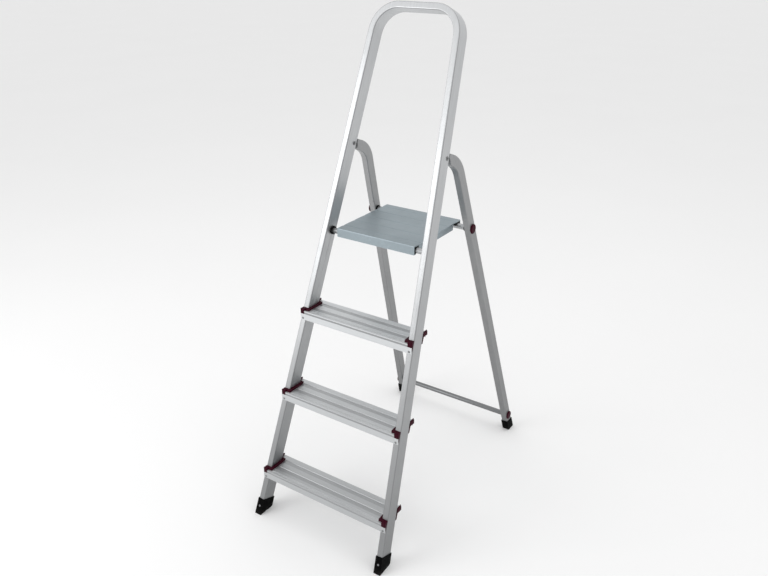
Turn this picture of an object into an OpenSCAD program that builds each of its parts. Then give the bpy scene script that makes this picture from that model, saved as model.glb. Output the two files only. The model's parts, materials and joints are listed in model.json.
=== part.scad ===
// Platform step ladder: a leaning front frame bent from one flat-oval tube, three ribbed treads
// and a folding platform, with a rear frame hinged to it. +X is to the right for someone facing
// the steps, +Y points from the front feet to the rear feet, +Z is up. Millimetres.

/* [Front frame] */
// outside width of the front frame at the floor
base_w = 445; // [400:1:520]
// how far the front frame leans back, in degrees
frame_lean = 20; // [17:0.5:23]
// how far each side of the front frame leans inward, in degrees
side_lean = 3.4; // [2.4:0.1:3.9]
// front to back size of the frame tube
stile_d = 45; // [40:0.5:48]
// side to side size of the frame tube
stile_w = 18; // [16:0.5:20]
// wall of the frame tube
stile_wall = 1.5; // [1.2:0.1:2]
// outside radius of the two bends of the hand rail
bend_r = 82; // [65:1:100]
// height of the hand rail above the platform
rail_up = 582; // [480:1:700]

/* [Steps] */
// height of the lowest tread above the floor
first_step = 139; // [115:1:170]
// height from one tread to the next
step_rise = 230; // [200:1:260]
// tread size front to back
tread_d = 88; // [80:1:105]
// how far a tread reaches in front of the frame
tread_nose = 12; // [9:0.5:15]
// height of a tread's front flange
tread_flange = 27; // [22:0.5:30]
// height of the edge guards above the tread
guard_lip = 6; // [4:0.5:8]

/* [Platform] */
// platform size side to side
deck_w = 250; // [200:1:280]
// platform size front to back
deck_d = 252; // [225:1:290]
// height of the platform's front flange
deck_h = 25; // [21:0.5:32]

/* [Rear frame] */
// how far the rear legs lean the other way, in degrees
leg_lean = 18.2; // [15:0.1:22]
// front to back size of the leg tube
leg_d = 30; // [27:0.5:32]
// side to side size of the leg tube
leg_w = 20; // [16:0.5:20]
// radius of the bend at the top of the legs, to the middle of the tube
leg_bend = 80; // [60:1:100]
// height of the hinges above the platform
hinge_up = 215; // [180:1:250]
// extra width of the rear frame at the floor over the front frame
leg_extra_w = 5; // [0:0.5:12]
// height of the brace tube above the floor
brace_z = 62; // [50:1:110]

/* [Tubes and caps] */
// outside diameter of the three cross tubes
tube_d = 16; // [13:0.5:17]
// diameter of the caps on the outer ends of the rear tubes
cap_d = 28; // [22:0.5:29]
// height of the front feet
foot_h = 47; // [35:1:60]
// height of the rear feet
rear_foot_h = 39; // [28:1:45]

/* [Hidden] */
$fn = 48;
wall = 1.5;               // tube and sheet thickness
gap = 0.05;               // running and fitting clearance, each side
foot_t = 1.6;             // wall of the plastic feet
tube_r = tube_d / 2;
hinge_r = 4;              // shank of the hinge rivets
stile_corner = 2.6;       // rounding of the frame tube's edges
bush_gap = 1;             // clearance between a leg's tongue and the bushes beside it
nose_w = 12;              // moulded nose of a guard, across the ladder
n_treads = 3;

// front frame plane: v runs up the slope, d is the depth behind the front face
t = frame_lean;
function v_of(y, z) = y * sin(t) + z * cos(t);
function y_at(z, d) = (d + z * sin(t)) / cos(t);
function half_out(v) = base_w / 2 - v * tan(side_lean);
function tread_z(i) = first_step + i * step_rise;
function tread_y(z) = z * tan(t);
function tread_end(z) = half_out(z / cos(t));

top_v = (first_step + n_treads * step_rise - 3 + rail_up) / cos(t);
bend_v = top_v - bend_r;
bend_u = (base_w / 2 * cos(side_lean) - bend_r - bend_v * sin(side_lean)) / cos(side_lean);
run_len = (base_w / 2 - bend_u) * sin(side_lean) + bend_v * cos(side_lean);
tube_start = 21;          // the frame tube stops above the floor, inside its foot

// platform and its two tubes
deck_z = first_step + n_treads * step_rise - 3;
axle_drop = 15;           // platform top to the middle of its tubes
axle_in = tube_r + 6.5;   // platform edge to the middle of the front tube
hook_in = tube_r + 5;     // platform edge to the middle of the rear tube
b_z = deck_z - axle_drop;
b_y = y_at(b_z, 0.6 * stile_d);
deck_y = b_y - axle_in;
c_z = b_z;
c_y = deck_y + deck_d - hook_in;

// hinge of the rear frame, inside the rear face of the front frame
hinge_in = 11.5;
a_z = deck_z + hinge_up;
a_y = y_at(a_z, stile_d - hinge_in);
a_x = half_out(v_of(a_y, a_z));

// rear leg: a straight run through the rear tube, then a bend that meets the hinge square
leg_back = 2;             // leg middle behind the middle of the rear tube
leg_k = cos(leg_lean) * (c_y + leg_back) + sin(leg_lean) * c_z;
m_a = sin(t) * a_y + cos(t) * a_z;
det = cos(leg_lean + t);
leg_cy = ((leg_k - leg_bend) * cos(t) - sin(leg_lean) * (m_a - leg_bend)) / det;
leg_cz = (cos(leg_lean) * (m_a - leg_bend) - sin(t) * (leg_k - leg_bend)) / det;
leg_top = cos(t) * (leg_cy - a_y) - sin(t) * (leg_cz - a_z);  // hinge to the start of the bend
leg_len = (leg_cz + leg_bend * sin(leg_lean)) / cos(leg_lean) + 30;
leg_tilt = atan((base_w / 2 + leg_extra_w / 2 - a_x) / a_z);
leg_end = hinge_in + 0.7; // hinge to the end of the full leg tube, just behind the stile
neck = leg_end / cos(leg_lean + t);  // the same, where the end is cut back
tongue_w = 8;
tongue_r = 11;

// everything is moved so that the origin lies under the middle of the four feet
front_y = -foot_t / cos(t);
low_q = a_z - (a_z + foot_t * sin(leg_tilt)) / cos(leg_tilt);
back_y = (leg_k + leg_d / 2 + foot_t - sin(leg_lean) * low_q) / cos(leg_lean);
mid_y = (front_y + back_y) / 2;

aluminium = "#c9cbcd";
alu_side = "#a9acae";
steel = "#8f9ca3";
burgundy = "#3d0a1c";
black = "#141414";
rivet_grey = "#9a9c9e";

front_frame();
tread(0);  // tread_1
tread(1);  // tread_2
tread(2);  // tread_3
left() guard(0);  // guard_left_1
left() guard(1);  // guard_left_2
left() guard(2);  // guard_left_3
guard(0);  // guard_right_1
guard(1);  // guard_right_2
guard(2);  // guard_right_3
tread_rivets();
left() front_foot();  // front_foot_left
front_foot();  // front_foot_right
foot_pins();
front_tube();
left() front_collar();  // front_collar_left
front_collar();  // front_collar_right
left() hinge_rivet();  // hinge_rivet_left
hinge_rivet();  // hinge_rivet_right
left() hinge_bush(0);  // hinge_bush_left_inner
left() hinge_bush(1);  // hinge_bush_left_outer
hinge_bush(0);  // hinge_bush_right_inner
hinge_bush(1);  // hinge_bush_right_outer
left() rear_leg();  // rear_leg_left
rear_leg();  // rear_leg_right
left() rear_foot();  // rear_foot_left
rear_foot();  // rear_foot_right
rear_tube();
left() rear_washer();  // rear_washer_left
rear_washer();  // rear_washer_right
left() end_cap(c_y, c_z);  // rear_cap_left
end_cap(c_y, c_z);  // rear_cap_right
brace_tube();
left() end_cap(brace_y(), brace_z);  // brace_cap_left
end_cap(brace_y(), brace_z);  // brace_cap_right
platform();
left() bearing();  // bearing_left
bearing();  // bearing_right
left() hook();  // hook_left
hook();  // hook_right
platform_rivets();

// ---------------------------------------------------------------- placing

module left() { mirror([1, 0, 0]) children(); }
module both() { for (s = [0, 1]) mirror([s, 0, 0]) children(); }
module place() { translate([0, -mid_y, 0]) children(); }

// children drawn with x = across, y = up the slope, z = out of the front face
module on_slope() { rotate([90 - t, 0, 0]) children(); }

// children drawn along the right stile: x = 0 at its middle, z = 0 at its front face
module on_stile(along = 0) {
    on_slope() translate([base_w / 2, 0, 0]) rotate([0, 0, side_lean])
        translate([-stile_w / 2, along, 0]) children();
}

// children drawn as a side view, x = back, y = up, and pulled out along the ladder's width
module side_view() { rotate([90, 0, 90]) children(); }

// the right leg's own plane, leaning outward from the hinge
module on_leg() {
    translate([a_x, 0, a_z]) rotate([0, -leg_tilt, 0]) translate([0, 0, -a_z])
        side_view() translate([0, 0, -leg_w / 2]) children();
}

module x_rod(r, x1, x2, y, z) {
    translate([x1, y, z]) rotate([0, 90, 0]) cylinder(r = r, h = x2 - x1);
}

module y_rod(r, y1, y2, x, z) {
    translate([x, y1, z]) rotate([-90, 0, 0]) cylinder(r = r, h = y2 - y1);
}

// ---------------------------------------------------------------- sections

function round_rect(a, b, r) = [
    for (c = [[1, 1, 0], [-1, 1, 90], [-1, -1, 180], [1, -1, 270]]) for (k = [0:3])
        [c[0] * (a / 2 - r) + r * cos(c[2] + 30 * k), c[1] * (b / 2 - r) + r * sin(c[2] + 30 * k)]];

module tube_section(a, b, r, w) {
    difference() {
        polygon(round_rect(a, b, r));
        polygon(round_rect(a - 2 * w, b - 2 * w, r - w));
    }
}

// the right stile's outline as a plain block, grown to the sides, the front and the back
module stile_block(side, front, back, v1, v2) {
    on_stile() translate([-stile_w / 2 - side, v1, -stile_d - back])
        cube([stile_w + 2 * side, v2 - v1, stile_d + back + front]);
}

// the right leg's straight run as a plain block; q measures down from the start of the bend
module leg_block(side, grow, q1, q2) {
    on_leg() translate([leg_cy + leg_bend * cos(leg_lean), leg_cz + leg_bend * sin(leg_lean), 0])
        rotate([0, 0, leg_lean]) translate([-leg_d / 2 - grow, -q2, -leg_w / 2 - side])
            cube([leg_d + 2 * grow, q2 - q1, leg_w + 2 * side]);
}

// ---------------------------------------------------------------- front frame

// the frame tube's outline swept along its path, drawn smaller by cut for the hollow inside
module bent_frame(cut) {
    seam = 0.03;          // the rail's middle stretch is this much fuller than the bends
    both() translate([bend_u, bend_v, -stile_d / 2]) rotate([0, 0, side_lean]) {
        rotate_extrude(angle = 90 - side_lean, $fn = 72) translate([bend_r - stile_w / 2, 0])
            polygon(stile_section(cut));
        translate([bend_r - stile_w / 2, 0, 0]) rotate([90, 0, 0])
            linear_extrude(run_len - tube_start + cut) polygon(stile_section(cut));
    }
    translate([-bend_u - 1, top_v - stile_w / 2, -stile_d / 2]) rotate([0, 90, 0])
        linear_extrude(2 * bend_u + 2) rotate(90) polygon(stile_section(cut - seam));
}

function stile_section(cut) = round_rect(stile_w - 2 * cut, stile_d - 2 * cut, stile_corner - cut);

module front_frame() {
    a_v = v_of(a_y, a_z);
    slot_low = tongue_r / cos(leg_lean + t) + hinge_in * tan(leg_lean + t) + 2;
    color(aluminium) place() difference() {
        on_slope() difference() {
            bent_frame(0);
            bent_frame(stile_wall);
        }
        both() {
            // slot in the rear wall for the leg's tongue
            on_stile(a_v / cos(side_lean)) translate([-tongue_w / 2 - 0.6, -slot_low, -stile_d - 1])
                cube([tongue_w + 1.2, slot_low + tongue_r + 1.5, 3]);
            x_rod(hinge_r + gap, a_x - stile_w - 6, a_x + 6, a_y, a_z);
            // the front tube goes through the inner wall only
            x_rod(tube_r + gap, 0, half_out(v_of(b_y, b_z)) - 5, b_y, b_z);
            for (i = [0:n_treads - 1]) rivet_shank(i, 2.4 + gap);
            on_stile(foot_h * 0.58) translate([0, 0, -6]) cylinder(r = 2 + gap, h = 12);
        }
    }
}

module front_foot() {
    color(black) place() difference() {
        intersection() {
            union() {
                stile_block(foot_t, foot_t, foot_t, -40, foot_h / cos(t));
            }
            translate([0, -100, 0]) cube([base_w, 300, 200]);
        }
        stile_block(0, 0, 0, tube_start, 200);
        // waist behind the toe and hole for the pin
        translate([0, y_at(0, stile_d) - 3, -1]) cube([base_w, 4, 2]);
        on_stile(foot_h * 0.58) translate([0, 0, -6]) cylinder(r = 2 + gap, h = 12);
    }
}

module foot_pins() {
    color(rivet_grey) place() both() on_stile(foot_h * 0.58) {
        translate([0, 0, -stile_wall - 2]) cylinder(r = 2, h = stile_wall + 2 + foot_t);
        translate([0, 0, foot_t]) cylinder(r1 = 3.2, r2 = 2.2, h = 0.9);
    }
}

// ---------------------------------------------------------------- treads

// side view of a tread: x = 0 at the front face of the frame, y = 0 at the tread's top
function groove(at, w, deep) = [[at - w / 2 - deep, 0], [at - w / 2, -deep], [at + w / 2, -deep],
    [at + w / 2 + deep, 0]];

function tread_outline() = let (n = tread_nose, r = tread_d - tread_nose) concat(
    [[-n, -1.6], [-n + 0.5, -0.5], [-n + 1.6, 0]],
    groove(-n + 5.2, 0.8, 0.5),
    groove(-n + 8.8, 1.2, 0.6),
    groove(-n + 0.33 * tread_d, 13, 0.9),
    groove(-n + 0.705 * tread_d, 13, 0.9),
    [[r - 1, 0], [r, -1], [r, -15], [r - 6, -15], [r - 6, -13.6], [r - 1.7, -13.6],
     [r - 1.7, -2.6], [r - 24, -2.6], [r - 24, -8], [r - 25.5, -8], [r - 25.5, -2.6],
     [-n + 1.8, -2.6], [-n + 1.8, -tread_flange], [-n, -tread_flange], [-n, -8.4],
     [-n + 0.8, -7.8], [-n + 0.8, -3.8], [-n, -3.2]]);

module tread(i) {
    z = tread_z(i);
    y = tread_y(z);
    xe = tread_end(z);
    n = tread_nose;
    color(aluminium) place() difference() {
        translate([-xe, y, z]) side_view() linear_extrude(2 * xe) polygon(tread_outline());
        both() {
            // the tread is notched round the stile, but its flange passes in front
            intersection() {
                stile_block(4, 4, 4, (z - 60) / cos(t), (z + 30) / cos(t));
                translate([0, y - n + 1.8, z - 60]) cube([base_w, 200, 120]);
            }
            // only the flange reaches the outer face of the stile
            translate([xe - 3, y - n + 1.75, z - 60]) cube([20, 200, 120]);
            rivet_shank(i, 2.4 + gap);
            // the moulded nose of the guard takes the place of the last stretch of nose
            translate([xe - nose_w - gap, y - n - 1, z - 8 - gap]) cube([30, 8, 20]);
            // the rear corners are cut off at an angle
            translate([xe, y + tread_d - n, z - 30]) rotate([0, 0, 45])
                translate([-8, -8, 0]) cube([16, 16, 60]);
        }
    }
}

// burgundy moulding that closes the end of a tread and wraps the stile
module guard(i) {
    z = tread_z(i);
    y = tread_y(z);
    xe = tread_end(z);
    n = tread_nose;
    r = tread_d - tread_nose;
    behind = stile_d / cos(t);          // rear face of the stile at the tread's top
    color(burgundy) place() difference() {
        union() {
            // lining between tread and stile
            intersection() {
                stile_block(4 - gap, 4 - gap, 4 - gap, (z - 60) / cos(t), (z + 30) / cos(t));
                translate([0, y - n + 1.8 + gap, z - 21]) cube([xe, 100, 21 + guard_lip]);
            }
            // lip on top of the tread, round the stile
            intersection() {
                stile_block(7, 6, 6, (z - 60) / cos(t), (z + 30) / cos(t));
                translate([0, y - n + 2, z]) cube([xe, 100, guard_lip]);
            }
            // upright stud behind the stile
            translate([xe - stile_w + 1.6, y + behind + 3, z]) cube([3.5, 7, guard_lip + 4]);
            // front and rear lips along the end of the tread
            translate([xe - 8, y - n + 2.8, z]) cube([8, n - 0.8, guard_lip]);
            translate([xe - 7, y + behind - 4, z]) cube([7, r - behind + 4, guard_lip]);
            // moulded nose, with a round bead at its outer corner
            difference() {
                translate([xe - nose_w, y - n - 0.8, z - 8]) cube([nose_w - 3.4, 7, 8 + guard_lip]);
                translate([xe - 30, y - n - 0.8, z + guard_lip]) rotate([45, 0, 0])
                    translate([0, -1.2, -1.2]) cube([60, 2.4, 2.4]);
            }
            translate([xe - 3.4, y - n + 2.8, z - 8]) {
                cylinder(r = 4, h = 8 + guard_lip);
                translate([0, 0, 8 + guard_lip]) cylinder(r1 = 4, r2 = 2.8, h = 0.9);
            }
            // end walls, drawn as side views
            translate([xe - 3 + gap, y, z]) side_view() linear_extrude(3 - gap) {
                polygon([[-n + 2.8, guard_lip], [-n + 2.8, -8.6], [-5, -14], [10, -14],
                    [10, guard_lip]]);
                polygon([[20, guard_lip], [r, guard_lip], [r, -5], [behind - 3, -3], [20, -3]]);
            }
        }
        // the stile passes through, and its outer face stays clear
        on_stile() translate([-stile_w / 2, (z - 60) / cos(t), -stile_d])
            cube([stile_w + 20, 100 / cos(t), stile_d]);
        rivet_shank(i, 2.4 + gap);
        // rounded rear corner
        translate([xe, y + r, z - 30]) rotate([0, 0, 45]) translate([-5, -5, 0])
            cube([10, 10, 60]);
    }
}

function rivet_z(i) = tread_z(i) - 22;
function rivet_x(i) = tread_end(rivet_z(i)) - stile_w / 2;

module rivet_shank(i, r) {
    y = tread_y(tread_z(i));
    y_rod(r, y - tread_nose, y + 3, rivet_x(i), rivet_z(i));
}

module tread_rivets() {
    color(rivet_grey) place() both() for (i = [0:n_treads - 1]) {
        y = tread_y(tread_z(i)) - tread_nose;
        rivet_shank(i, 2.4);
        translate([rivet_x(i), y, rivet_z(i)]) rotate([90, 0, 0])
            cylinder(r1 = 3.6, r2 = 2.4, h = 1);
        y_rod(3, y + tread_nose + 1, y + tread_nose + 4, rivet_x(i), rivet_z(i));
    }
}

// ---------------------------------------------------------------- front cross tube

module front_tube() {
    end = half_out(v_of(b_y, b_z)) - stile_wall - 0.8;
    color(aluminium) place() difference() {
        x_rod(tube_r, -end, end, b_y, b_z);
        x_rod(tube_r - wall, -end - 1, end + 1, b_y, b_z);
    }
}

module front_collar() {
    x = half_out(v_of(b_y, b_z)) - stile_w;
    color(black) place() difference() {
        x_rod(tube_r + 4, x - 6, x + 3, b_y, b_z);
        x_rod(tube_r + gap, x - 20, x + 20, b_y, b_z);
        stile_block(0, 0, 0, 0, run_len);
    }
}

// ---------------------------------------------------------------- hinge

module hinge_rivet() {
    color(rivet_grey) place() difference() {
        union() {
            x_rod(hinge_r, a_x - stile_w - 1.2, a_x + 1.2, a_y, a_z);
            difference() {
                union() {
                    x_rod(5.6, a_x - stile_w - 1.4, a_x - stile_w + 3, a_y, a_z);
                    x_rod(5.6, a_x - 3, a_x + 1.4, a_y, a_z);
                }
                stile_block(0, 0, 0, 0, run_len);
            }
        }
        x_rod(2, a_x - stile_w - 5, a_x + 5, a_y, a_z);
    }
}

// bushes that fill the tube beside the tongue: 0 is on the inner side, 1 on the outer
module hinge_bush(side) {
    color(black) place() difference() {
        intersection() {
            stile_block(-stile_wall, -stile_wall, -stile_wall - 1.3, 0, run_len);
            if (side == 0) x_rod(7, a_x - stile_w, tongue_x() - tongue_w / 2 - bush_gap, a_y, a_z);
            else x_rod(7, tongue_x() + tongue_w / 2 + bush_gap, a_x, a_y, a_z);
        }
        x_rod(hinge_r + gap, a_x - stile_w - 5, a_x + 5, a_y, a_z);
    }
}

function tongue_x() = a_x - stile_w / 2;

// ---------------------------------------------------------------- rear frame

module rear_leg() {
    s = leg_lean;
    color(aluminium) place() difference() {
        union() {
            on_leg() {
                translate([leg_cy, leg_cz, 0]) rotate([0, 0, s]) {
                    // straight run
                    translate([leg_bend, 0, 0]) rotate([90, 0, 0]) linear_extrude(leg_len)
                        tube_section(leg_d, leg_w, 2.6, wall);
                    // bend
                    rotate_extrude(angle = 90 - t - s, $fn = 96) translate([leg_bend, 0])
                        tube_section(leg_d, leg_w, 2.6, wall);
                }
                // solid end piece from the bend to the hinge, pushed a little way into the bend
                translate([a_y, a_z, 0]) rotate([0, 0, 90 - t]) difference() {
                    translate([0, -leg_end, 0]) rotate([90, 0, 0])
                        linear_extrude(leg_top - leg_end + 1)
                            polygon(round_rect(leg_d + 0.06, leg_w + 0.06, 2.6));
                    // lower corner cut back so that the leg can swing past the frame
                    translate([0, -neck, -leg_w]) rotate([0, 0, leg_lean + t])
                        translate([-60, 0, 0]) cube([70, 40, 2 * leg_w]);
                }
                // tongue round the hinge rivet
                translate([a_y, a_z, (leg_w - stile_w - tongue_w) / 2]) rotate([0, 0, 90 - t]) {
                    cylinder(r = tongue_r, h = tongue_w);
                    translate([-tongue_r, -neck - 8, 0]) cube([2 * tongue_r, neck + 8, tongue_w]);
                }
            }
        }
        x_rod(hinge_r + gap, a_x - 40, a_x + 20, a_y, a_z);
        x_rod(tube_r + gap, 0, base_w, c_y, c_z);
        x_rod(tube_r + gap, 0, base_w, brace_y(), brace_z);
        // cut above the floor, inside the foot
        translate([0, 0, -100]) cube([base_w, 2000, 104]);
    }
}

// outer face of the right leg at a height
function leg_out(z) = a_x + (a_z - z) * tan(leg_tilt);
function brace_y() = (leg_k - sin(leg_lean) * (a_z - (a_z - brace_z) / cos(leg_tilt))) / cos(leg_lean);

module rear_foot() {
    color(black) place() difference() {
        intersection() {
            leg_block(foot_t, foot_t, 200, leg_len + 60);
            cube([base_w, 2000, rear_foot_h]);
        }
        difference() {
            leg_block(0.02, 0.02, 200, leg_len + 60);
            translate([0, 0, -100]) cube([base_w, 2000, 104]);
        }
    }
}

module cross_tube(y, z) {
    end = leg_out(z) + 1.6;
    color(aluminium) place() difference() {
        x_rod(tube_r, -end, end, y, z);
        x_rod(tube_r - wall, -end - 1, end + 1, y, z);
    }
}

module rear_tube() { cross_tube(c_y, c_z); }
module brace_tube() { cross_tube(brace_y(), brace_z); }

module rear_washer() {
    x = leg_out(c_z) - leg_w;
    color(black) place() difference() {
        x_rod(tube_r + 2.6, x - 3.5, x + 3, c_y, c_z);
        x_rod(tube_r + gap, x - 20, x + 20, c_y, c_z);
        leg_block(0, 0, -5, leg_len);
    }
}

// shallow domed cap pressed into the open end of a rear tube
module end_cap(y, z) {
    x = leg_out(z);
    color(burgundy) place() difference() {
        union() {
            x_rod(cap_d / 2, x - 2, x + 3.2, y, z);
            translate([x + 3.2, y, z]) rotate([0, 90, 0])
                cylinder(r1 = cap_d / 2, r2 = cap_d / 2 - 2.4, h = 1.6);
            x_rod(tube_r - wall - gap, x - 12, x, y, z);
        }
        difference() {
            x_rod(tube_r + gap, x - 20, x + 1.6 + gap, y, z);
            x_rod(tube_r - wall - gap, x - 30, x + 5, y, z);
        }
        difference() {
            leg_block(0, 5, -5, leg_len + 20);
            x_rod(tube_r - wall - gap, x - 30, x + 5, y, z);
        }
    }
}

// ---------------------------------------------------------------- platform

function deck_rib(at) = [[at - 5, 0], [at - 3, -0.7], [at + 3, -0.7], [at + 5, 0]];

// side view of the folded sheet, x = 0 at its front edge, y = 0 at its top
function deck_outline() = concat(
    [[0, -1.8], [0.6, -0.6], [1.8, 0]],
    deck_rib(0.12 * deck_d), deck_rib(0.32 * deck_d), deck_rib(0.52 * deck_d),
    deck_rib(0.72 * deck_d), deck_rib(0.9 * deck_d),
    [[deck_d - 1.2, 0], [deck_d, -1.2], [deck_d, -12], [deck_d - wall, -12],
     [deck_d - wall, -2.2], [wall, -2.2], [wall, -deck_h + wall], [9, -deck_h + wall],
     [9, -deck_h], [0, -deck_h]]);

module platform() {
    color(steel) place() difference() {
        platform_sheet();
        both() bearing_rivet(1.6 + gap);
    }
}

module platform_sheet() {
    union() {
        translate([-deck_w / 2, deck_y, deck_z]) side_view() linear_extrude(deck_w)
            polygon(deck_outline());
        both() {
            // side flange, short of the corners where the tube fittings are
            translate([deck_w / 2 - 3.5 - wall, deck_y + 27, deck_z - deck_h + 3])
                difference() {
                    cube([wall, deck_d - 27 - 36, deck_h - 3 - 2]);
                    for (e = [0, 1]) translate([-1, e * (deck_d - 63), 0]) rotate([45, 0, 0])
                        cube([4, 7, 7], center = true);
                }
            // folded lip of the side edge
            translate([deck_w / 2 - 3.6 - wall, deck_y + wall, deck_z - 3.4])
                cube([3.6 + wall, deck_d - 2 * wall, 1.4]);
        }
    }
}

// moulded block that carries the front corner of the platform on its tube
module bearing() {
    // just under the tube, or resting clear of the platform's front lip
    low = max(b_z - tube_r - 0.4, deck_z - deck_h + wall + 0.1);
    color(black) place() difference() {
        translate([deck_w / 2 - 26, b_y - axle_in + wall + 0.1, low])
            cube([25.5, axle_in - wall + tube_r + 2, deck_z - 3.5 - low]);
        x_rod(tube_r + gap, deck_w / 2 - 40, deck_w / 2 + 20, b_y, b_z);
        // rounded rear lower corner
        translate([deck_w / 2 - 40, b_y + tube_r + 2.1, low])
            rotate([45, 0, 0]) translate([0, -3, -3]) cube([60, 6, 6]);
        bearing_rivet(1.6 + gap);
    }
}

// moulded hook that drops over the rear tube; its front jaw is short so that it can lift off
module hook() {
    r1 = tube_r + 0.3;
    top = axle_drop - 3.5;
    color(black) place() difference() {
        translate([deck_w / 2 - 26, c_y, c_z]) side_view() linear_extrude(25.5) difference() {
            polygon([[-r1 - 12, top], [-r1 - 12, 6.5], [-r1 - 3, 3.2], [-r1 + 1, 4.6], [0, 4.6],
                [0, 0], [r1, 0], [r1, -10], [r1 + 1.2, -12], [r1 + 2.6, -10], [r1 + 2.6, top]]);
            circle(r = r1);
        }
        hook_rivet(2 + gap);
    }
}

// upward through the platform's front lip into the bearing
module bearing_rivet(r) {
    translate([deck_w / 2 - 14, deck_y + 4.2, deck_z - deck_h]) cylinder(r = r, h = deck_h - 17);
}

// upward through the hook to the underside of the platform
module hook_rivet(r) {
    translate([deck_w / 2 - 12, c_y - tube_r - 7, c_z + 3]) cylinder(r = r, h = axle_drop - 5.2);
}

module platform_rivets() {
    color(rivet_grey) place() both() {
        bearing_rivet(1.6);
        translate([deck_w / 2 - 14, deck_y + 4.2, deck_z - deck_h - 0.9])
            cylinder(r1 = 2.2, r2 = 3, h = 0.9);
        hook_rivet(2);
    }
}
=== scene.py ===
"""Looks of the platform step ladder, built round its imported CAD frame. Metres, +Z up."""

import json
import math

import bpy
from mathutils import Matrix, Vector

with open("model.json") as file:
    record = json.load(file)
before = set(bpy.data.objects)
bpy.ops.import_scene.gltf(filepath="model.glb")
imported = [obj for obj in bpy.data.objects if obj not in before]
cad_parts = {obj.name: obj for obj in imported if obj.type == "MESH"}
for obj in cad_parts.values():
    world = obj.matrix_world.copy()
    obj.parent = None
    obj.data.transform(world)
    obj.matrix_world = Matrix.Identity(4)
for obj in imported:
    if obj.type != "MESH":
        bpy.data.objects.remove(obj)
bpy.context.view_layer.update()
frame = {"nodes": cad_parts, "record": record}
NODES = frame["nodes"]

MM = 0.001
FRAME_LEAN = math.radians(20)
SIDE_LEAN = math.radians(3.4)
LEG_LEAN = math.radians(18.2)
ORIGIN_Y = 0.416807  # from the foot of the frame's front face back to the origin
TREAD_1_TOP = 0.139
TREAD_RISE = 0.230
DRAWN_ANISOTROPY = 0.25
DISSOLVE_DEGREES = 0.6
BEVEL_FROM_DEGREES = 32
FLOOR_HALF = 40.0
WORLD_STRENGTH = 0.86
CAMERA_PLACE = (1.07216, -1.67414, 1.55329)
CAMERA_FORWARD = (-0.5025, 0.7559, -0.4197)
CAMERA_LENS_MM = 35.394


# ---------------------------------------------------------------- material helpers


class Shader:
    """A material's node tree, with short calls for the nodes that the finishes share."""

    def __init__(self, name):
        self.material = bpy.data.materials.new(name)
        self.material.use_nodes = True
        self.tree = self.material.node_tree
        self.bsdf = self.tree.nodes["Principled BSDF"]

    def add(self, kind, settings=None, **inputs):
        node = self.tree.nodes.new(kind)
        for key, value in (settings or {}).items():
            setattr(node, key, value)
        for key, value in inputs.items():
            self.put(node.inputs[key.replace("_", " ")], value)
        return node

    def put(self, socket, value):
        if isinstance(value, bpy.types.NodeSocket):
            self.tree.links.new(value, socket)
        else:
            socket.default_value = value

    def set(self, **inputs):
        for key, value in inputs.items():
            self.put(self.bsdf.inputs[key.replace("_", " ")], value)

    def place(self, along, scale_along, scale_across):
        """Row-frame coordinates turned so that `along` is X, then scaled."""
        turn = Vector(along).to_track_quat("X", "Z").inverted().to_euler("XYZ")
        turned = self.add(
            "ShaderNodeMapping",
            {"vector_type": "POINT"},
            Vector=self.coordinates(),
            Rotation=turn,
        )
        stretched = self.add(
            "ShaderNodeMapping",
            {"vector_type": "POINT"},
            Vector=turned.outputs[0],
            Scale=(scale_along, scale_across, scale_across),
        )
        return stretched.outputs[0]

    def coordinates(self):
        return self.add("ShaderNodeTexCoord").outputs["Object"]

    def noise(self, vector, scale, detail=2.0, roughness=0.5):
        return self.add(
            "ShaderNodeTexNoise", Vector=vector, Scale=scale, Detail=detail, Roughness=roughness
        ).outputs["Fac"]

    def fit(self, value, low, high, to_low, to_high):
        return self.add(
            "ShaderNodeMapRange",
            {"clamp": True},
            Value=value,
            From_Min=low,
            From_Max=high,
            To_Min=to_low,
            To_Max=to_high,
        ).outputs[0]

    def math(self, operation, a, b):
        node = self.add("ShaderNodeMath", {"operation": operation})
        self.put(node.inputs[0], a)
        self.put(node.inputs[1], b)
        return node.outputs[0]

    def mix(self, amount, a, b):
        node = self.add("ShaderNodeMix", {"data_type": "RGBA"})
        self.put(node.inputs[0], amount)
        self.put(node.inputs[6], (*a, 1) if isinstance(a, tuple) else a)
        self.put(node.inputs[7], (*b, 1) if isinstance(b, tuple) else b)
        return node.outputs[2]

    def band(self, value, low, high, soft):
        """1 where the value lies between low and high, falling to 0 over `soft` outside."""
        above = self.fit(value, low - soft, low, 0, 1)
        below = self.fit(value, high, high + soft, 1, 0)
        return self.math("MULTIPLY", above, below)

    def height(self):
        split = self.add("ShaderNodeSeparateXYZ", Vector=self.coordinates())
        return split.outputs["Z"]

    def bump(self, value, strength, distance, normal=None):
        node = self.add("ShaderNodeBump", Strength=strength, Distance=distance, Height=value)
        if normal is not None:
            self.put(node.inputs["Normal"], normal)
        return node.outputs[0]

    def edge(self, radius):
        """1 on the flat and up to 0 on an edge, from how far the rounded normal turns away."""
        rounded = self.add("ShaderNodeBevel", {"samples": 6}, Radius=radius).outputs[0]
        flat = self.add("ShaderNodeNewGeometry").outputs["Normal"]
        dot = self.add("ShaderNodeVectorMath", {"operation": "DOT_PRODUCT"})
        self.put(dot.inputs[0], rounded)
        self.put(dot.inputs[1], flat)
        return dot.outputs["Value"]


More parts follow.
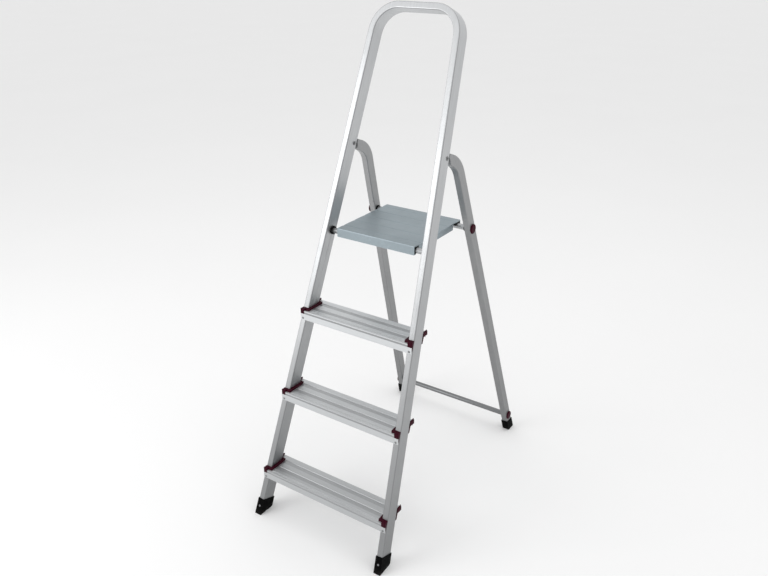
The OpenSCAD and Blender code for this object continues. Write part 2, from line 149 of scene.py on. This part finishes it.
def drawn_metal(name, tone, along, rough, line_bump=0.06, metallic=0.9, low=0.6, painted_darkening=None):
    """Aluminium drawn or extruded along one direction: fine lines, faint smudges, edges paler from
    wear and a painted highlight.

    Painted shade darkens it toward the floor, down to `low` of its tone; `painted_darkening` adds
    more painted shade and a painted dark reflection as darker places.
    """
    s = Shader(name)
    fine = s.noise(s.place(along, 6, 2600), 1.0, 3.0, 0.6)
    broad = s.noise(s.place(along, 3, 260), 1.0, 2.0)
    smudge = s.noise(s.coordinates(), 9.0, 4.0, 0.6)
    light = tuple(min(1, c * 1.04) for c in tone)
    dark = tuple(c * 0.96 for c in tone)
    streaks = s.mix(s.fit(broad, 0.3, 0.7, 0, 1), dark, light)
    clean = s.mix(s.fit(smudge, 0.55, 0.8, 0, 0.55), streaks, tuple(c * 0.93 for c in tone))
    # Painted shade: the tone falls with height toward the floor, to `low` of itself.
    grey = s.mix(s.fit(s.height(), 0.1, 1.05, 1, 0), clean, tuple(c * low for c in tone))
    # Edge wear with a slight painted highlight.
    edge_wear_and_highlight = s.fit(s.edge(0.9 * MM), 0.80, 0.97, 0.3, 0)
    colour = s.mix(edge_wear_and_highlight, grey, tuple(min(1, c * 1.05) for c in tone))
    # Painted shade and painted dark reflection: darker toward 0.42 of the tone where the mask is 1.
    if painted_darkening is not None:
        colour = s.mix(painted_darkening(s), colour, tuple(c * 0.42 for c in tone))
    lined = s.fit(fine, 0.25, 0.75, rough - 0.05, rough + 0.07)
    roughness = s.math("ADD", lined, s.fit(smudge, 0.4, 0.8, -0.02, 0.08))
    s.set(
        Base_Color=colour,
        Metallic=metallic,
        Roughness=roughness,
        Normal=s.bump(fine, line_bump, 0.05 * MM, s.bump(broad, 0.04, 0.12 * MM)),
    )
    s.bsdf.inputs["Anisotropic"].default_value = DRAWN_ANISOTROPY
    return s.material


def painted_corner_reflection(s):
    """A painted dark reflection: a dull line along the frame tube's two front corners, just behind
    its front face.
    """
    split = s.add("ShaderNodeSeparateXYZ", Vector=s.coordinates())
    behind = s.math("MULTIPLY", s.math("ADD", split.outputs["Y"], ORIGIN_Y), math.cos(FRAME_LEAN))
    depth = s.math("SUBTRACT", behind, s.math("MULTIPLY", split.outputs["Z"], math.sin(FRAME_LEAN)))
    # Painted dark reflection on the rounded front corners, at 0.7 strength.
    return s.math("MULTIPLY", s.band(depth, 1.0 * MM, 2.6 * MM, 0.5 * MM), 0.7)


def painted_groove_shade(s):
    """Painted shade in a tread's wide grooves and in the recess under its nose."""
    low = 0.05
    above = s.math("MODULO", s.math("SUBTRACT", s.height(), TREAD_1_TOP - low), TREAD_RISE)
    level = s.math("SUBTRACT", above, low)
    grooves = s.band(level, -2.0 * MM, -0.1 * MM, 0.06 * MM)
    recess = s.band(level, -8.4 * MM, -3.3 * MM, 0.3 * MM)
    # Painted shade: grooves at 0.62 strength, the recess under the nose in full.
    return s.math("MAXIMUM", s.math("MULTIPLY", grooves, 0.62), recess)


def zinc_sheet(name, tone):
    """Zinc-coated steel: blue-grey, with soft crystal patches, rolling lines, rubbed scuffs and a
    painted highlight on its edges.
    """
    s = Shader(name)
    bent = s.add("ShaderNodeVectorMath", {"operation": "ADD"})
    s.put(bent.inputs[0], s.coordinates())
    wobble = s.add("ShaderNodeVectorMath", {"operation": "SCALE"})
    s.put(wobble.inputs[0], s.add("ShaderNodeTexNoise", Scale=70.0, Detail=2.0).outputs["Color"])
    s.put(wobble.inputs["Scale"], 3 * MM)
    s.put(bent.inputs[1], wobble.outputs[0])
    crystal = s.add("ShaderNodeTexVoronoi", Vector=bent.outputs[0], Scale=150.0)
    patch = s.add("ShaderNodeSeparateColor", Color=crystal.outputs["Color"]).outputs[0]
    cloud = s.noise(s.coordinates(), 14.0, 4.0, 0.6)
    lines = s.noise(s.place((1, 0, 0), 8, 1500), 1.0, 3.0)
    scuff = s.noise(s.place((0.6, 0.8, 0), 30, 700), 1.0, 4.0, 0.7)
    base = s.mix(patch, tuple(c * 0.95 for c in tone), tuple(c * 1.06 for c in tone))
    cloudy = s.mix(s.fit(cloud, 0.35, 0.7, 0, 0.5), base, tuple(c * 0.88 for c in tone))
    scuffed = s.mix(s.fit(scuff, 0.66, 0.8, 0, 0.35), cloudy, tuple(c * 1.4 for c in tone))
    # Edge wear and a painted highlight: edges pale toward 1.9 of the tone.
    edge_wear_and_highlight = s.fit(s.edge(1.2 * MM), 0.80, 0.97, 0.6, 0)
    s.set(
        Base_Color=s.mix(edge_wear_and_highlight, scuffed, tuple(min(1, c * 1.9) for c in tone)),
        Metallic=0.82,
        Roughness=s.math("ADD", s.fit(patch, 0, 1, 0.36, 0.46), s.fit(cloud, 0.3, 0.7, 0, 0.08)),
        Normal=s.bump(lines, 0.05, 0.05 * MM, s.bump(patch, 0.03, 0.1 * MM)),
    )
    return s.material


def moulded(name, tone, rough, rub):
    """Moulded plastic: fine grain, slight colour drift, paler where the edges are rubbed."""
    s = Shader(name)
    fine = s.noise(s.coordinates(), 2200.0, 2.0)
    drift = s.noise(s.coordinates(), 24.0, 3.0)
    scratch = s.noise(s.place((0.3, 0.2, 1), 60, 1400), 1.0, 3.0, 0.7)
    base = s.mix(drift, tuple(c * 0.88 for c in tone), tuple(c * 1.12 for c in tone))
    rubbed = tuple(min(1, c * rub + 0.004) for c in tone)
    marked = s.mix(s.fit(scratch, 0.68, 0.8, 0, 0.35), base, rubbed)
    edge_wear_and_highlight = s.fit(s.edge(0.8 * MM), 0.78, 0.97, 0.45, 0)
    s.set(
        Base_Color=s.mix(edge_wear_and_highlight, marked, rubbed),
        Roughness=s.math("ADD", s.fit(fine, 0.3, 0.7, rough - 0.04, rough + 0.06),
                         s.fit(drift, 0.3, 0.7, -0.03, 0.05)),
        Normal=s.bump(fine, 0.18, 0.05 * MM),
    )
    s.bsdf.inputs["Specular IOR Level"].default_value = 0.08
    return s.material


def foot_rubber(name, tone):
    """Black foot plastic, dusty near the floor."""
    s = Shader(name)
    fine = s.noise(s.coordinates(), 1500.0, 3.0)
    dust_noise = s.noise(s.coordinates(), 120.0, 4.0, 0.65)
    low = s.fit(s.height(), 0.0, 0.018, 1, 0)
    dust = s.math("MULTIPLY", low, s.fit(dust_noise, 0.35, 0.75, 0.05, 0.55))
    edge_wear_and_highlight = s.fit(s.edge(1.0 * MM), 0.78, 0.97, 0.5, 0)
    base = s.mix(dust, tone, (0.04, 0.039, 0.037))
    s.set(
        Base_Color=s.mix(edge_wear_and_highlight, base, (0.014, 0.014, 0.014)),
        Roughness=s.fit(fine, 0.3, 0.7, 0.5, 0.64),
        Normal=s.bump(fine, 0.22, 0.08 * MM),
    )
    s.bsdf.inputs["Specular IOR Level"].default_value = 0.02
    return s.material


def rivet_metal(name, tone):
    """Rivet heads: dulled aluminium with small dents and paler rims."""
    s = Shader(name)
    dents = s.noise(s.coordinates(), 420.0, 3.0)
    edge_wear_and_highlight = s.fit(s.edge(0.5 * MM), 0.78, 0.97, 0.5, 0)
    base = s.mix(s.fit(dents, 0.35, 0.7, 0, 1), tuple(c * 0.8 for c in tone), tone)
    s.set(
        Base_Color=s.mix(edge_wear_and_highlight, base, tuple(min(1, c * 1.3) for c in tone)),
        Metallic=0.9,
        Roughness=s.fit(dents, 0.3, 0.7, 0.3, 0.46),
        Normal=s.bump(dents, 0.12, 0.1 * MM),
    )
    return s.material


def studio_floor(name):
    s = Shader(name)
    cloud = s.noise(s.coordinates(), 1.3, 2.0)
    s.set(
        Base_Color=s.mix(cloud, (0.93, 0.93, 0.93), (0.95, 0.95, 0.95)),
        Roughness=0.9,
        Normal=s.bump(s.noise(s.coordinates(), 300.0), 0.02, 0.2 * MM),
    )
    s.bsdf.inputs["Specular IOR Level"].default_value = 0.1
    return s.material


# ---------------------------------------------------------------- finishes of the CAD nodes

UP_STILE = (0, math.sin(FRAME_LEAN), math.cos(FRAME_LEAN))
UP_LEG = (0, -math.sin(LEG_LEAN), math.cos(LEG_LEAN))
ACROSS = (1, 0, 0)

# Each low= sets how far painted shade darkens that aluminium toward the floor.
FINISHES = {
    "frame_aluminium": drawn_metal(
        "frame aluminium", (0.56, 0.57, 0.58), UP_STILE, 0.40, low=0.5, painted_darkening=painted_corner_reflection
    ),
    "leg_aluminium": drawn_metal("leg aluminium", (0.36, 0.365, 0.37), UP_LEG, 0.42, low=0.70),
    "tread_aluminium": drawn_metal(
        "tread aluminium",
        (0.84, 0.86, 0.875),
        ACROSS,
        0.44,
        line_bump=0.12,
        metallic=0.78,
        low=0.6,
        painted_darkening=painted_groove_shade,
    ),
    "tube_aluminium": drawn_metal("tube aluminium", (0.50, 0.51, 0.52), ACROSS, 0.34, low=0.42),
    "platform_steel": zinc_sheet("zinc-coated sheet", (0.33, 0.385, 0.415)),
    "burgundy_plastic": moulded("burgundy plastic", (0.036, 0.0016, 0.0085), 0.5, rub=1.2),
    "black_plastic": moulded("black plastic", (0.006, 0.006, 0.0065), 0.5, rub=2.0),
    "foot_rubber": foot_rubber("foot rubber", (0.0025, 0.0025, 0.0026)),
    "rivet_metal": rivet_metal("rivet metal", (0.26, 0.265, 0.27)),
}
EDGE_MM = {
    "frame_aluminium": 0.0,
    "leg_aluminium": 0.0,
    "tread_aluminium": 0.25,
    "tube_aluminium": 0.3,
    "platform_steel": 0.4,
    "burgundy_plastic": 1.0,
    "black_plastic": 0.8,
    "foot_rubber": 1.2,
    "rivet_metal": 0.25,
}


def soften(obj, width_mm):
    """Welds the CAD faces together and rounds their edges."""
    weld = obj.modifiers.new("weld", "WELD")
    weld.merge_threshold = 1e-6
    if not width_mm:
        return
    flat = obj.modifiers.new("flat faces", "DECIMATE")
    flat.decimate_type = "DISSOLVE"
    flat.angle_limit = math.radians(DISSOLVE_DEGREES)
    bevel = obj.modifiers.new("rounded edges", "BEVEL")
    bevel.width = width_mm * MM
    bevel.segments = 3
    bevel.limit_method = "ANGLE"
    bevel.angle_limit = math.radians(BEVEL_FROM_DEGREES)
    bevel.harden_normals = True
    bevel.miter_outer = "MITER_ARC"


for part in frame["record"]["subparts"]:
    obj = NODES[part["node"]]
    slot = part["material_slot"]
    obj.data.materials.clear()
    obj.data.materials.append(FINISHES[slot])
    soften(obj, EDGE_MM[slot])


# ---------------------------------------------------------------- floor, light and camera


def make_floor():
    size = FLOOR_HALF
    mesh = bpy.data.meshes.new("floor")
    corners = [(-size, -size, 0), (size, -size, 0), (size, size, 0), (-size, size, 0)]
    mesh.from_pydata(corners, [], [(0, 1, 2, 3)])
    mesh.materials.append(studio_floor("studio floor"))
    floor = bpy.data.objects.new("floor", mesh)
    bpy.context.scene.collection.objects.link(floor)


def aim(obj, target):
    obj.rotation_mode = "QUATERNION"
    obj.rotation_quaternion = (Vector(target) - obj.location).to_track_quat("-Z", "Y")


def make_light(name, place, target, size, watts):
    data = bpy.data.lights.new(name, "AREA")
    data.shape = "RECTANGLE"
    data.size, data.size_y = size
    data.energy = watts
    light = bpy.data.objects.new(name, data)
    light.location = place
    bpy.context.scene.collection.objects.link(light)
    aim(light, target)


def make_world():
    world = bpy.data.worlds.new("studio")
    bpy.context.scene.world = world
    world.use_nodes = True
    background = world.node_tree.nodes["Background"]
    background.inputs["Color"].default_value = (1.0, 1.0, 1.0, 1)
    background.inputs["Strength"].default_value = WORLD_STRENGTH


def make_camera():
    data = bpy.data.cameras.new("camera")
    data.lens = CAMERA_LENS_MM
    data.sensor_width = 36.0
    camera = bpy.data.objects.new("camera", data)
    camera.location = CAMERA_PLACE
    aim(camera, camera.location + Vector(CAMERA_FORWARD))
    bpy.context.scene.collection.objects.link(camera)
    bpy.context.scene.camera = camera


make_floor()
make_world()
make_light("key", (-1.9, -2.6, 1.7), (0, 0, 0.7), (1.8, 1.8), 29)
make_light("top", (0.4, 0.6, 3.4), (0, 0, 0.6), (3.0, 3.0), 12)
make_light("side", (3.0, 0.4, 1.6), (0, 0, 0.6), (1.5, 2.0), 3)
make_camera()
bpy.context.scene.view_settings.view_transform = "Standard"
